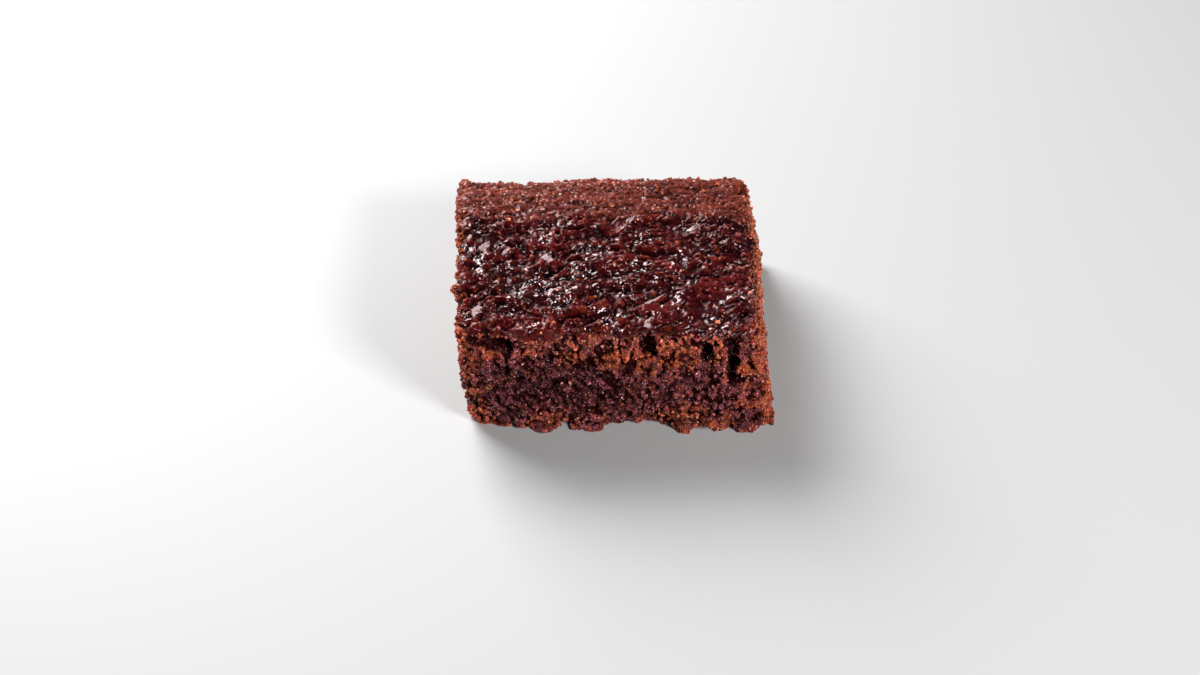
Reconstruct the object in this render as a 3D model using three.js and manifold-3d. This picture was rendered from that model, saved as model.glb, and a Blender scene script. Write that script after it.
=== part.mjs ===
// A square-cut chocolate brownie lying on its base, as one solid piece.
// Millimetres, +Z up, the front cut face looks along -Y, the drier back band is at +Y.
// The origin is the middle of the base of the bounding box.

import * as THREE from 'three';
import { mergeVertices } from 'three/addons/utils/BufferGeometryUtils.js';
import Module from 'manifold-3d';

const wasm = await Module();
wasm.setup();

// Driving sizes of the piece
const HEIGHT = 31;
const TOP_DEPTH = 60.5;
const TOP_WIDTH_FRONT = 72.2;
const TOP_WIDTH_BACK = 75.6;
const RIGHT_FLARE = 4.6;
const LEFT_UNDERCUT = 1.9;
const FRONT_FLARE = 2.6;
const BACK_FLARE = 0.4;
const TOP_BACK_SHIFT = -1.5;
const EDGE_RADIUS = 2.4;

// Size of the grid cells on the faces, and how much is trimmed off below the base
const CELL_ALONG = 2.3;
const CELL_ACROSS = 1.5;
const CELL_UP = 2.4;
const TRIM_DEPTH = 2;

// Wet wrinkles of the crust, which run from side to side and slant towards the front
const WRINKLE_SPACING = 5.6;
const WRINKLE_HEIGHT = 1.15;
const WRINKLE_SHARPNESS = 1.4;
const WRINKLE_MEAN = 0.45;
const WRINKLE_WANDER = 3.4;
const WRINKLE_SHAKE = 1.3;
const WRINKLE_WHOLE = 0.65;
const WRINKLE_BROKEN = 0.5;
const WRINKLE_SLANT = 0.14;
const SLANT_STARTS_Y = 15;
const SLANT_FULL_Y = -25;
const BLISTER_HEIGHT = 0.8;

// Drier, smoother band at the back, with its wavy front edge
const DRY_BAND = 12;
const BAND_FADE = 4;
const BAND_WAVE = 1.5;
const BAND_WAVE_SIZE = 9;
const DRY_HEIGHT = 0.3;

// Roll of the crust down to the back edge, deeper behind its left half
const BACK_DROP = 1.1;
const BACK_DROP_LENGTH = 9;
const BACK_DIP = 1.5;
const BACK_DIP_X = -25;
const BACK_DIP_REACH = 12;

// Layers of the crust's relief: their feature sizes along X and Y, and their level in the noise
const WANDER_LAYER = { alongX: 17, alongY: 12, level: 7.3 };
const SHAKE_LAYER = { alongX: 6, alongY: 6, level: 2.1 };
const BROKEN_LAYER = { alongX: 8, alongY: 7, level: 11.7 };
const BLISTER_LAYER = { alongX: 3.6, alongY: 2.9, level: 4.4 };
const DRY_LAYER = { alongX: 5, alongY: 3, level: 8.8 };

// Crumb relief of the cut faces
const CRUMB_SIZE = 3.1;
const CRUMB_HEIGHT = 0.5;
const WAVE_SIZE = 13;
const WAVE_HEIGHT = 0.55;
const WAVE_LEVEL = 3;

// Foot of the front face, crumbled away at the left corner and in a bay right of the middle
const CORNER_PULL = 3.6;
const CORNER_STARTS_X = -20;
const CORNER_FULL_X = -38;
const BAY_PULL = 3.2;
const BAY_LEFT = { starts: -3.5, full: 3 };
const BAY_RIGHT = { starts: 17, full: 10.5 };
const PULL_HEIGHT = 6;

// Torn hollows
const HOLLOW_SIDES = 14;
const HOLLOW_RINGS = 10;
const HOLLOW_SWELL = 0.22;
const HOLLOW_LUMPS = 1.7;

const SEED = 41;
const CRUMB_COLOUR = 0x6b2f24;

function clamp(value, low, high) {
  return Math.min(high, Math.max(low, value));
}

function smoothstep(low, high, value) {
  const t = clamp((value - low) / (high - low), 0, 1);
  return t * t * (3 - 2 * t);
}

function bell(distance, reach) {
  return Math.exp(-((distance / reach) ** 2));
}

// Seeded noise: one repeatable number for each lattice corner
function cornerValue(i, j, k) {
  let h = Math.imul(i, 374761393) ^ Math.imul(j, 668265263) ^ Math.imul(k, 915488749) ^ SEED;
  h = Math.imul(h ^ (h >>> 13), 1274126177);
  h = Math.imul(h ^ (h >>> 15), 2246822519);
  return ((h ^ (h >>> 16)) >>> 0) / 2147483648 - 1;
}

// Smooth noise between -1 and 1 with features one unit across
function noise(x, y, z) {
  const cell = [Math.floor(x), Math.floor(y), Math.floor(z)];
  const part = [x - cell[0], y - cell[1], z - cell[2]].map((t) => t * t * (3 - 2 * t));
  let sum = 0;
  for (let corner = 0; corner < 8; corner += 1) {
    const step = [corner & 1, (corner >> 1) & 1, (corner >> 2) & 1];
    const weights = step.map((on, axis) => (on ? part[axis] : 1 - part[axis]));
    const value = cornerValue(cell[0] + step[0], cell[1] + step[1], cell[2] + step[2]);
    sum += value * weights[0] * weights[1] * weights[2];
  }
  return sum;
}

function layerNoise(x, y, layer) {
  return noise(x / layer.alongX, y / layer.alongY, layer.level);
}

// How far the wet crust reaches: 1 on the wrinkles, 0 on the dry band
function wetShare(x, y) {
  const bandFront = TOP_DEPTH / 2 - DRY_BAND;
  const wave = BAND_WAVE * noise(x / BAND_WAVE_SIZE, 5.5, 0.5);
  return 1 - smoothstep(bandFront - BAND_FADE, bandFront, y + wave);
}

// Broken, wandering folds that run from side to side
function wrinkleHeight(x, y) {
  const shake = WRINKLE_SHAKE * layerNoise(x, y, SHAKE_LAYER);
  const wander = WRINKLE_WANDER * layerNoise(x, y, WANDER_LAYER) + shake;
  const slant = WRINKLE_SLANT * x * smoothstep(SLANT_STARTS_Y, SLANT_FULL_Y, y);
  const phase = (y - slant + wander) / WRINKLE_SPACING;
  const fold = Math.abs(2 * (phase - Math.floor(phase)) - 1);
  const broken = WRINKLE_WHOLE + WRINKLE_BROKEN * layerNoise(x, y, BROKEN_LAYER);
  return WRINKLE_HEIGHT * broken * (fold ** WRINKLE_SHARPNESS - WRINKLE_MEAN);
}

// Height of the crust above or below its mean level
function crustRelief(x, y) {
  const wet = wetShare(x, y);
  const blister = BLISTER_HEIGHT * layerNoise(x, y, BLISTER_LAYER);
  const dry = DRY_HEIGHT * layerNoise(x, y, DRY_LAYER);
  return wet * (wrinkleHeight(x, y) + blister) + (1 - wet) * dry;
}

// The crust rolls down to the back edge and dips behind its left half
function backRoll(x, y) {
  const toBack = smoothstep(TOP_DEPTH / 2 - BACK_DROP_LENGTH, TOP_DEPTH / 2, y);
  const dip = BACK_DIP * bell(x - BACK_DIP_X, BACK_DIP_REACH);
  return -toBack * (BACK_DROP + dip);
}

// How far the foot of the front face is pulled in
function footBay(x) {
  const corner = CORNER_PULL * smoothstep(CORNER_STARTS_X, CORNER_FULL_X, x);
  const left = smoothstep(BAY_LEFT.starts, BAY_LEFT.full, x);
  const right = smoothstep(BAY_RIGHT.starts, BAY_RIGHT.full, x);
  return corner + BAY_PULL * left * right;
}

// Edge crumbs that stand out past the sides
const sideCrumbs = [
  { side: -1, y: -12.5, z: 28, out: 1.6, reach: 1.9 },
  { side: -1, y: -24, z: 27.5, out: 0.7, reach: 2.6 },
  { side: -1, y: 3, z: 28, out: 0.6, reach: 3 },
  { side: 1, y: 13, z: 27.5, out: 0.8, reach: 2.4 },
  { side: 1, y: 4, z: 26.5, out: 1.1, reach: 3 },
  { side: 1, y: 29, z: 3.5, out: 1.5, reach: 4 },
  { side: 1, y: -25, z: 4.5, out: 0.9, reach: 3 },
];

function crumbBump(side, y, z) {
  let bump = 0;
  for (const crumb of sideCrumbs) {
    if (crumb.side === side) {
      bump += crumb.out * bell(y - crumb.y, crumb.reach) * bell(z - crumb.z, crumb.reach);
    }
  }
  return bump;
}

// Rounds the edges of a plain block: a point of its surface moves onto a ball of the edge radius
function roundEdges(point, half) {
  const core = point.clone();
  core.x = clamp(point.x, EDGE_RADIUS - half.x, half.x - EDGE_RADIUS);
  core.y = clamp(point.y, EDGE_RADIUS - half.y, half.y - EDGE_RADIUS);
  core.z = Math.min(point.z, HEIGHT - EDGE_RADIUS);
  const outward = point.clone().sub(core);
  if (outward.lengthSq() > 0) {
    outward.setLength(EDGE_RADIUS);
  }
  return { place: core.add(outward), outward: outward.normalize() };
}

// Turns the straight block into the leaning, slightly skewed shape of the cut piece
function leanSides(place, half) {
  const height = clamp(place.z / HEIGHT, 0, 1);
  const low = 1 - height;
  const across = place.y / half.y;
  const widthTop = TOP_WIDTH_FRONT + (TOP_WIDTH_BACK - TOP_WIDTH_FRONT) * (across + 1) / 2;
  const shift = TOP_BACK_SHIFT * (across + 1) / 2;
  const side = place.x / half.x;
  const halfWidth = widthTop / 2 + low * (side > 0 ? RIGHT_FLARE : -LEFT_UNDERCUT);
  const along = shift + side * halfWidth;
  const flare = low * (across < 0 ? FRONT_FLARE : BACK_FLARE);
  const pull = across < 0 ? -across * footBay(along) * bell(place.z, PULL_HEIGHT) : 0;
  const deep = across * (half.y + flare) + pull;
  return new THREE.Vector3(along, deep, place.z);
}

// Adds the crust's wrinkles on top and the crumb's lumps on the sides
function addRelief(point, outward) {
  const top = clamp(outward.z, 0, 1);
  const lumps = CRUMB_HEIGHT * noise(point.x / CRUMB_SIZE, point.y / CRUMB_SIZE, point.z / CRUMB_SIZE);
  const waveLevel = WAVE_LEVEL + point.z / WAVE_SIZE;
  const waves = WAVE_HEIGHT * noise(point.x / WAVE_SIZE, point.y / WAVE_SIZE, waveLevel);
  const crumb = (1 - top) * (lumps + waves);
  const crust = top * crustRelief(point.x, point.y);
  const lift = crust + backRoll(point.x, point.y) * clamp(point.z / HEIGHT, 0, 1);
  const bump = crumbBump(Math.sign(outward.x), point.y, point.z) * Math.abs(outward.x);
  point.addScaledVector(outward, crumb);
  point.x += Math.sign(outward.x) * bump;
  point.z += lift;
  return point;
}

function moveVertices(geometry, move) {
  const position = geometry.attributes.position;
  const point = new THREE.Vector3();
  for (let index = 0; index < position.count; index += 1) {
    point.fromBufferAttribute(position, index);
    const moved = move(point);
    position.setXYZ(index, moved.x, moved.y, moved.z);
  }
  return geometry;
}

function bareGeometry(geometry) {
  geometry.deleteAttribute('normal');
  geometry.deleteAttribute('uv');
  return mergeVertices(geometry, 1e-4);
}

function toSolid(geometry) {
  const vertProperties = new Float32Array(geometry.attributes.position.array);
  const triVerts = new Uint32Array(geometry.index.array);
  return new wasm.Manifold(new wasm.Mesh({ numProp: 3, vertProperties, triVerts }));
}

function toGeometry(solid) {
  const mesh = solid.getMesh();
  const geometry = new THREE.BufferGeometry();
  geometry.setAttribute('position', new THREE.BufferAttribute(mesh.vertProperties, 3));
  geometry.setIndex(new THREE.BufferAttribute(mesh.triVerts, 1));
  return geometry;
}

// The whole piece before its base is trimmed flat
function cakeBlock() {
  const width = TOP_WIDTH_FRONT;
  const full = HEIGHT + TRIM_DEPTH;
  const columns = Math.round(width / CELL_ALONG);
  const rows = Math.round(TOP_DEPTH / CELL_ACROSS);
  const levels = Math.round(full / CELL_UP);
  const box = new THREE.BoxGeometry(width, TOP_DEPTH, full, columns, rows, levels);
  box.translate(0, 0, HEIGHT - full / 2);
  const half = new THREE.Vector3(width / 2, TOP_DEPTH / 2, full / 2);
  const block = moveVertices(bareGeometry(box), (point) => {
    const { place, outward } = roundEdges(point, half);
    return addRelief(leanSides(place, half), outward);
  });
  return toSolid(block);
}

// Everything below the level of the base
function groundBlock() {
  const deep = 3 * TRIM_DEPTH;
  const box = new THREE.BoxGeometry(2 * TOP_WIDTH_BACK, 2 * TOP_WIDTH_BACK, deep);
  box.translate(0, 0, -deep / 2);
  return toSolid(bareGeometry(box));
}

// A lumpy hollow torn out of a face, given by its middle, its half sizes and its tilt in degrees
function tornHollow(centre, reach, tilt) {
  const ball = bareGeometry(new THREE.SphereGeometry(1, HOLLOW_SIDES, HOLLOW_RINGS));
  moveVertices(ball, (point) => {
    const lumpX = point.x * HOLLOW_LUMPS + centre[0];
    const lumpZ = point.z * HOLLOW_LUMPS + centre[2];
    const swell = 1 + HOLLOW_SWELL * noise(lumpX, point.y * HOLLOW_LUMPS, lumpZ);
    return point.multiplyScalar(swell);
  });
  ball.scale(reach[0], reach[1], reach[2]);
  ball.rotateY(THREE.MathUtils.degToRad(tilt));
  ball.translate(centre[0], centre[1], centre[2]);
  return toSolid(ball);
}

// Hollows of the front face and of the back right corner of the crust
function hollows() {
  const face = -TOP_DEPTH / 2;
  return [
    tornHollow([-27.6, face - 0.4, 27.7], [5.4, 3.2, 1.9], 4),
    tornHollow([9.4, face - 0.2, 26.4], [1.8, 2.6, 3.6], -12),
    tornHollow([21.9, face, 28], [1.1, 2.2, 1.7], 0),
    tornHollow([23.4, face - 0.3, 25], [1.4, 2.8, 2.4], 6),
    tornHollow([29.2, face + 0.1, 27.8], [2.1, 2.5, 2.3], 35),
    tornHollow([30.1, face - 0.6, 21.8], [1.3, 2.6, 2.4], 10),
    tornHollow([30.7, face - 0.9, 17.6], [1.5, 2.5, 1.7], 0),
    tornHollow([33.4, 22.6, 30.6], [1.1, 1.3, 2.2], 0),
  ];
}

function brownieGeometry() {
  let solid = cakeBlock().subtract(groundBlock());
  for (const hollow of hollows()) {
    solid = solid.subtract(hollow);
  }
  const geometry = toGeometry(solid);
  geometry.computeBoundingBox();
  const middle = geometry.boundingBox.getCenter(new THREE.Vector3());
  geometry.translate(-middle.x, -middle.y, 0);
  geometry.computeVertexNormals();
  return geometry;
}

const crumb = new THREE.MeshStandardMaterial({ color: CRUMB_COLOUR, roughness: 0.7, metalness: 0 });
const brownie = new THREE.Mesh(brownieGeometry(), crumb);
brownie.name = 'brownie';

const part = new THREE.Group();
part.add(brownie);

export default part;
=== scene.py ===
import math

import bmesh
import bpy
import numpy as np
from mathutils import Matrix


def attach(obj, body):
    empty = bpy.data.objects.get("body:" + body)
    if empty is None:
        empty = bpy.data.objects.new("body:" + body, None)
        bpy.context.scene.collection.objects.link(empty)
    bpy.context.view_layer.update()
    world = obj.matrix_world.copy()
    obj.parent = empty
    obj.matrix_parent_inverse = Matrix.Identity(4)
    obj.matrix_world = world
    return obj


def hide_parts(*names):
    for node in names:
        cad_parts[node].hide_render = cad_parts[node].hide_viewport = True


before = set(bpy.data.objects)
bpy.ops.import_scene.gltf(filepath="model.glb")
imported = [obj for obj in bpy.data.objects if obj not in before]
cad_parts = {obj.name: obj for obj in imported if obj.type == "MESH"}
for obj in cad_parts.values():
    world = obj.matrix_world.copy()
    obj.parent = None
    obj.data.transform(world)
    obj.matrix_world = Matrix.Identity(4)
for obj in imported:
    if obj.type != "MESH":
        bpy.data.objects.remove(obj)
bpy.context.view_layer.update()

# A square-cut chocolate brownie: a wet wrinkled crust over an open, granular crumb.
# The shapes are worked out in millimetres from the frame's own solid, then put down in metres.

import openvdb as vdb
from mathutils import Vector

MM = 0.001
NODE = "brownie"
SEED = 7

# Camera, found from the perspective of the photograph
IMAGE_WIDTH = 1200
SENSOR_MM = 36.0
FOCAL_PX = 1833.0
CAMERA_PLACE_MM = (-3.2, -336.9, 332.3)
CAMERA_DOWN_DEG = 44.5
CLIP_START = 0.01

# Soft key from the back left, weaker fill from the front right: places in mm, sizes in m, powers in W
KEY_PLACE_MM = (-340.0, 420.0, 420.0)
KEY_SIZE = 0.46
KEY_POWER = 9.2
FILL_PLACE_MM = (430.0, -430.0, 420.0)
FILL_SIZE = 0.2
FILL_POWER = 4.6
LIT_POINT = (0, 0, 0.02)
ROOM_GLOW = 0.012

# Floor
FLOOR_SIZE = 6.0
FLOOR_COLOUR = (0.55, 0.55, 0.55, 1.0)
FLOOR_ROUGHNESS = 0.6

# Grids that the surfaces are worked out on, in mm
CRUMB_STEP = 0.36
CRUST_STEP = 0.28
BAND_MM = 3.0
CAD_SMOOTHING = 0.45
CRUST_GRID_BOTTOM = 24.0
FLATNESS = 0.02

# The front and right cut faces, which lean out towards the foot
TOP_HEIGHT = 31.0
FRONT_TOP_Y = -29.3
FRONT_LEAN = 2.6 / TOP_HEIGHT
RIGHT_TOP_X = 35.1
RIGHT_LEAN = 4.6 / TOP_HEIGHT

# How the crust lies on the piece
HIGHEST = 32.6
SLICE_HEIGHT = 28.0
INNER_EDGE = 3.2
CROWN_BLUR = 2.4
BARE_LEFT = -0.1
BARE_RIGHT = 1.2
BARE_BACK = 0.4
SKIN_EDGE_THICKNESS = 0.55
SKIN_MORE_INSIDE = 2.5
FRONT_LIP = 1.5
SKIN_OVERLAP = 0.35
SKIN_LIFT = 0.05
LIP_RAGS = 0.3
LIP_CRUMBS = 0.4
EDGE_CRUMBS = 0.2
CRUST_CREST_BLUR = 0.6
DRY_BAND_START = 17.5
DRY_BAND_FADE = 8.0
SHINE_LOST = 0.53

# Folds of the wet crust: sizes along x and y, heights, and how far each leans over
BROAD_FOLD = (8.5, 3.2)
SMALL_FOLD = (4.2, 1.7)
FINE_FOLD = (5.0, 1.0)
BROAD_HEIGHT = 1.7
SMALL_HEIGHT = 1.0
FINE_HEIGHT = 0.25
BROAD_LEAN = 1.1
SMALL_LEAN = 0.7
FOLD_STRETCH = 9.0
FOLD_SLANT = 0.2
WET_MEAN = 1.1
RELIEF_BLUR = 0.13

# Broken plates of crust: sizes along x and y, most slope, most step, and seed
FLAKES = ((2.9, 1.7), 0.5, 0.35, 60)
CHIPS = ((1.3, 1.0), 0.5, 0.14, 70)
DRY_FLAKES = ((1.2, 0.65), 0.34, 0.07, 90)
CHIP_SHARE = 0.18
PLATE_JITTER = 0.42

# Lumps on the crust: spacing along x and y, seed, reach and height
LUMPS = ((2.7, 2.2), 80, 0.95, 0.9)
DRY_GRAINS = ((0.9, 0.75), 97, 0.34, 0.16)
PEBBLE_JITTER = 0.4
DRY_MEAN = 0.45

# Layers of noise over the plane: height, sizes along x and y, and seed of each
SKIN_RAGS = ((0.75, 2.6, 2.6, 41), (0.5, 1.1, 1.1, 42))
SKIN_UNEVEN = ((0.4, 3.4, 3.4, 43), (0.25, 1.2, 1.2, 44))
LIP_SCALLOPS = ((0.9, 4.5, 9.0, 45),)
PLATE_FRAYS = ((0.35, 0.7, 0.7, 51), (0.2, 0.35, 0.35, 53))
PLATE_RIPPLES = ((0.05, 0.8, 0.5, 52),)
DRY_EDGE_WANDER = ((3.0, 9.0, 4.0, 31), (1.6, 3.4, 1.7, 32))
FOLD_DRIFT = ((2.2, 8.0, 6.0, 11),)
FOLD_WANDER = ((1.5, 9.0, 6.0, 12), (0.5, 3.0, 3.0, 13))
CRINKLED_PATCHES = ((0.5, 6.5, 4.2, 33), (0.4, 2.4, 1.5, 34))
FLAKE_SHAKE_X = ((0.7, 1.5, 1.5, 18), (0.2, 0.6, 0.6, 25))
FLAKE_SHAKE_Y = ((0.6, 1.5, 1.5, 19), (0.2, 0.6, 0.6, 26))
DRY_WANDER = ((1.2, 5.0, 3.0, 24),)
DRY_SHAKE = ((0.3, 0.8, 0.8, 27),)
DRY_SWELLS = ((0.25, 7.0, 3.0, 23),)

# Crumb: how deep its body lies, the turn of the knife's streaks, and the heights of its forms
CRUMB_INSET = 0.62
DRAG_TURN_DEG = -48.0
CLUMP_HEIGHT = 0.4
GRIT_HEIGHT = 0.16
STREAK_HEIGHT = 0.8
FOOT_CLUMP_HEIGHT = 0.9
FOOT_NICK_DEPTH = 0.8
CRUMB_CREST_BLUR = 0.7

# Balls and pores of crumb: cell size, radii, reach of their middles past the surface, share of cells
COARSE_BALLS = (1.5, (0.4, 0.72), (-1.2, -0.2), 0.5)
FINE_BALLS = (0.9, (0.25, 0.5), (-0.9, 0.0), 0.6)
PORES = (3.4, (0.5, 1.2), (-1.1, 0.4), 0.38)
PINHOLES = (1.7, (0.3, 0.6), (-0.7, 0.2), 0.5)
GRAINED_BAND = 1.7


# Small helpers for numbers

def smoothstep(low, high, value):
    t = np.clip((value - low) / (high - low), 0.0, 1.0)
    return t * t * (3.0 - 2.0 * t)


def bell(distance, reach):
    return np.exp(-(distance / reach) ** 2)


def spline_weights(coords, first, count):
    """Cubic B-spline weights of each coordinate on a row of unit lattice points."""
    weights = np.zeros((len(coords), count), np.float32)
    cell = np.floor(coords).astype(int)
    t = coords - cell
    taps = (
        (1 - t) ** 3 / 6,
        (3 * t ** 3 - 6 * t ** 2 + 4) / 6,
        (-3 * t ** 3 + 3 * t ** 2 + 3 * t + 1) / 6,
        t ** 3 / 6,
    )
    rows = np.arange(len(coords))
    for offset, tap in enumerate(taps):
        weights[rows, cell - 1 + offset - first] = tap
    return weights


def solid_noise(axes, cell, seed):
    """Smooth noise of unit spread over a whole grid, with lattice cells of the given size in mm."""
    rng = np.random.default_rng(seed)
    matrices = []
    for axis in axes:
        coords = axis / cell
        first = int(math.floor(coords[0])) - 1
        count = int(math.floor(coords[-1])) + 3 - first
        matrices.append(spline_weights(coords, first, count))
    lattice = rng.standard_normal([m.shape[1] for m in matrices]).astype(np.float32)
    field = np.tensordot(matrices[0], lattice, (1, 0))
    field = np.matmul(matrices[1][None], field)
    field = np.matmul(field, matrices[2].T)
    return field / field.std()


def hash_value(i, j, seed):
    """One repeatable number between -1 and 1 for each lattice point."""
    h = i.astype(np.uint32) * np.uint32(374761393)
    h ^= j.astype(np.uint32) * np.uint32(668265263)
    h ^= np.uint32((seed * 915488749) & 0xFFFFFFFF)
    h = (h ^ (h >> np.uint32(13))) * np.uint32(1274126177)
    h = (h ^ (h >> np.uint32(15))) * np.uint32(2246822519)
    h ^= h >> np.uint32(16)
    return h.astype(np.float64) / 2147483648.0 - 1.0


def flat_noise(x, y, seed):
    """Smooth noise on a plane, at any points, with features one unit across."""
    i = np.floor(x).astype(np.int64)
    j = np.floor(y).astype(np.int64)
    u = x - i
    v = y - j
    u = u ** 3 * (u * (u * 6 - 15) + 10)
    v = v ** 3 * (v * (v * 6 - 15) + 10)
    low = hash_value(i, j, seed) * (1 - u) + hash_value(i + 1, j, seed) * u
    high = hash_value(i, j + 1, seed) * (1 - u) + hash_value(i + 1, j + 1, seed) * u
    return low * (1 - v) + high * v


def layered(x, y, layers, start=0.0):
    """A start value with layers of flat noise on top."""
    total = start
    for height, size_x, size_y, seed in layers:
        total = total + height * flat_noise(x / size_x, y / size_y, seed)
    return total


def blurred(field, sigma, step):
    """Gaussian blur of a grid along each of its axes, sigma in mm."""
    reach = max(1, int(round(2.5 * sigma / step)))
    kernel = np.exp(-0.5 * (np.arange(-reach, reach + 1) * step / sigma) ** 2)
    kernel = (kernel / kernel.sum()).astype(np.float32)
    for axis in range(field.ndim):
        padding = [(0, 0)] * field.ndim
        padding[axis] = (reach, reach)
        padded = np.moveaxis(np.pad(field, padding, mode="edge"), axis, 0)
        size = field.shape[axis]
        total = sum(weight * padded[k:k + size] for k, weight in enumerate(kernel))
        field = np.moveaxis(total, 0, axis)
    return field


# The frame's solid as a distance field

def solid_triangles():
    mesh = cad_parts[NODE].data
    points = np.empty(len(mesh.vertices) * 3, np.float32)
    mesh.vertices.foreach_get("co", points)
    mesh.calc_loop_triangles()
    corners = np.empty(len(mesh.loop_triangles) * 3, np.int32)
    mesh.loop_triangles.foreach_get("vertices", corners)
    return points.reshape(-1, 3) / MM, corners.reshape(-1, 3).astype(np.uint32)


class Field:
    """A box of grid points round the piece: the axes in mm and the distance to the solid."""

    def __init__(self, step, bottom=-BAND_MM):
        points, triangles = solid_triangles()
        transform = vdb.createLinearTransform(step)
        grid = vdb.FloatGrid.createLevelSetFromPolygons(
            points, triangles=triangles, transform=transform, halfWidth=BAND_MM / step)
        low, high = grid.evalActiveVoxelBoundingBox()
        low = (low[0], low[1], max(low[2], int(bottom / step)))
        shape = [high[k] - low[k] + 1 for k in range(3)]
        self.step = step
        self.low = low
        self.axes = [(low[k] + np.arange(shape[k])) * step for k in range(3)]
        distance = np.empty(shape, np.float32)
        grid.copyToArray(distance, ijk=low)
        self.distance = blurred(distance, CAD_SMOOTHING, step)

    def spread(self):
        """The three axes shaped to work together over the whole grid."""
        x, y, z = self.axes
        return x[:, None, None], y[None, :, None], z[None, None, :]

    def points(self, mask):
        index = np.nonzero(mask)
        return np.stack([axis[i] for axis, i in zip(self.axes, index)], axis=1).astype(np.float32)

    def surface(self, values):
        """The zero surface of values: points in mm, and its faces as rows of four or three corners."""
        grid = vdb.FloatGrid(BAND_MM)
        grid.transform = vdb.createLinearTransform(self.step)
        grid.copyFromArray(np.clip(values, -BAND_MM, BAND_MM).astype(np.float32), ijk=self.low)
        points, triangles, quads = grid.convertToPolygons(0.0, FLATNESS)
        return only_main_shell(points, [quads.astype(np.int64), triangles.astype(np.int64)])

    def sample(self, values, points):
        """Values read off the grid at any points, between the grid points."""
        total = np.zeros(len(points), np.float32)
        place = points / self.step - np.array(self.low)
        place = np.clip(place, 0, np.array(values.shape) - 1.001)
        cell = np.floor(place).astype(int)
        part = place - cell
        for corner in np.ndindex(2, 2, 2):
            weight = np.prod(np.where(corner, part, 1 - part), axis=1)
            total += weight * values[tuple((cell + corner).T)]
        return total


def only_main_shell(points, groups):
    """Drops the small closed scraps that noise leaves beside the main surface."""
    parent = np.arange(len(points))
    edges = [faces[:, [k, k + 1]] for faces in groups for k in range(faces.shape[1] - 1)]
    edges = np.concatenate(edges)
    while True:
        lower = np.minimum(parent[edges[:, 0]], parent[edges[:, 1]])
        before = parent.copy()
        np.minimum.at(parent, edges[:, 0], lower)
        np.minimum.at(parent, edges[:, 1], lower)
        parent = parent[parent]
        if np.array_equal(parent, before):
            break
    labels, sizes = np.unique(parent, return_counts=True)
    keep = parent == labels[np.argmax(sizes)]
    index = np.cumsum(keep) - 1
    return points[keep], [index[faces[keep[faces[:, 0]]]] for faces in groups]


# Maps over the plane: where the crust lies and how thick it is

def crown_heights(field):
    """Height of the top surface over each point of the plane, in mm."""
    solid = field.distance < 0
    z = field.axes[2]
    top = solid.shape[2] - 1 - np.argmax(solid[:, :, ::-1], axis=2)
    top = np.clip(top, 0, solid.shape[2] - 2)
    rows, columns = np.indices(top.shape)
    below = field.distance[rows, columns, top]
    above = field.distance[rows, columns, top + 1]
    height = z[top] + field.step * below / np.minimum(below - above, -1e-3)
    return np.where(solid.any(axis=2), height, 0.0)


def reach_along(inside, coords, axis):
    """First and last solid coordinate of each row of the slice."""
    first = np.argmax(inside, axis, keepdims=True)
    last = len(coords) - 1 - np.argmax(np.flip(inside, axis), axis, keepdims=True)
    return coords[first], coords[last]


class Plan:
    """Maps over the plane for one field."""

    def __init__(self, field):
        self.field = field
        x, y = np.meshgrid(field.axes[0], field.axes[1], indexing="ij")
        self.x = x
        self.y = y
        level = np.searchsorted(field.axes[2], SLICE_HEIGHT)
        inside = field.distance[:, :, level] < 0
        left, right = reach_along(inside, field.axes[0], 0)
        front, back = reach_along(inside, field.axes[1], 1)
        ragged = layered(x, y, SKIN_RAGS)
        side_gap = np.minimum(x - left - BARE_LEFT, right - x - BARE_RIGHT) - ragged
        back_gap = back - y - BARE_BACK - ragged
        self.covered = np.minimum(side_gap, back_gap)
        edge = np.minimum(np.minimum(x - left, right - x), np.minimum(y - front, back - y))
        self.crown = crown_heights(field)
        self.level_crown = self.unrounded(inside & (edge > INNER_EDGE))
        uneven = layered(x, y, SKIN_UNEVEN)
        thickness = SKIN_EDGE_THICKNESS + SKIN_MORE_INSIDE * smoothstep(1.0, 5.0, edge) + uneven
        hanging = FRONT_LIP * np.maximum(0.0, layered(x, y, LIP_SCALLOPS, 1.0))
        at_front = smoothstep(FRONT_TOP_Y + 3.0, FRONT_TOP_Y + 1.0, y)
        thickness = np.maximum(thickness, hanging * at_front + uneven)
        self.skin_floor = self.level_crown - thickness

    def unrounded(self, inner):
        """The crown carried straight on past the rounded edges."""
        weight = blurred(inner.astype(np.float32), CROWN_BLUR, self.field.step)
        total = blurred((self.crown * inner).astype(np.float32), CROWN_BLUR, self.field.step)
        level = total / np.maximum(weight, 1e-6)
        return np.where(weight > 1e-4, level, np.median(self.crown[inner]))

    def at(self, values, points):
        """Values of a plane map under points of space."""
        cell = np.rint(points[:, :2] / self.field.step).astype(int) - self.field.low[:2]
        i, j = np.clip(cell, 0, np.array(values.shape) - 1).T
        return values[i, j]


# Small forms strewn over the crust, one to a cell of a jittered lattice

def nearby_cells(x, y, size, jitter, seed):
    """For each of the nine cells round every point: offsets from its jittered middle, and its luck."""
    i = np.floor(x / size[0]).astype(np.int64)
    j = np.floor(y / size[1]).astype(np.int64)
    for di, dj in np.ndindex(3, 3):
        cell_i = i + di - 1
        cell_j = j + dj - 1
        luck = [hash_value(cell_i, cell_j, seed + k) for k in range(6)]
        dx = x - (cell_i + 0.5 + jitter * luck[0]) * size[0]
        dy = y - (cell_j + 0.5 + jitter * luck[1]) * size[1]
        yield dx, dy, luck[2:]


def turned(dx, dy, turn):
    return dx * np.cos(turn) + dy * np.sin(turn), dy * np.cos(turn) - dx * np.sin(turn)


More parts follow.
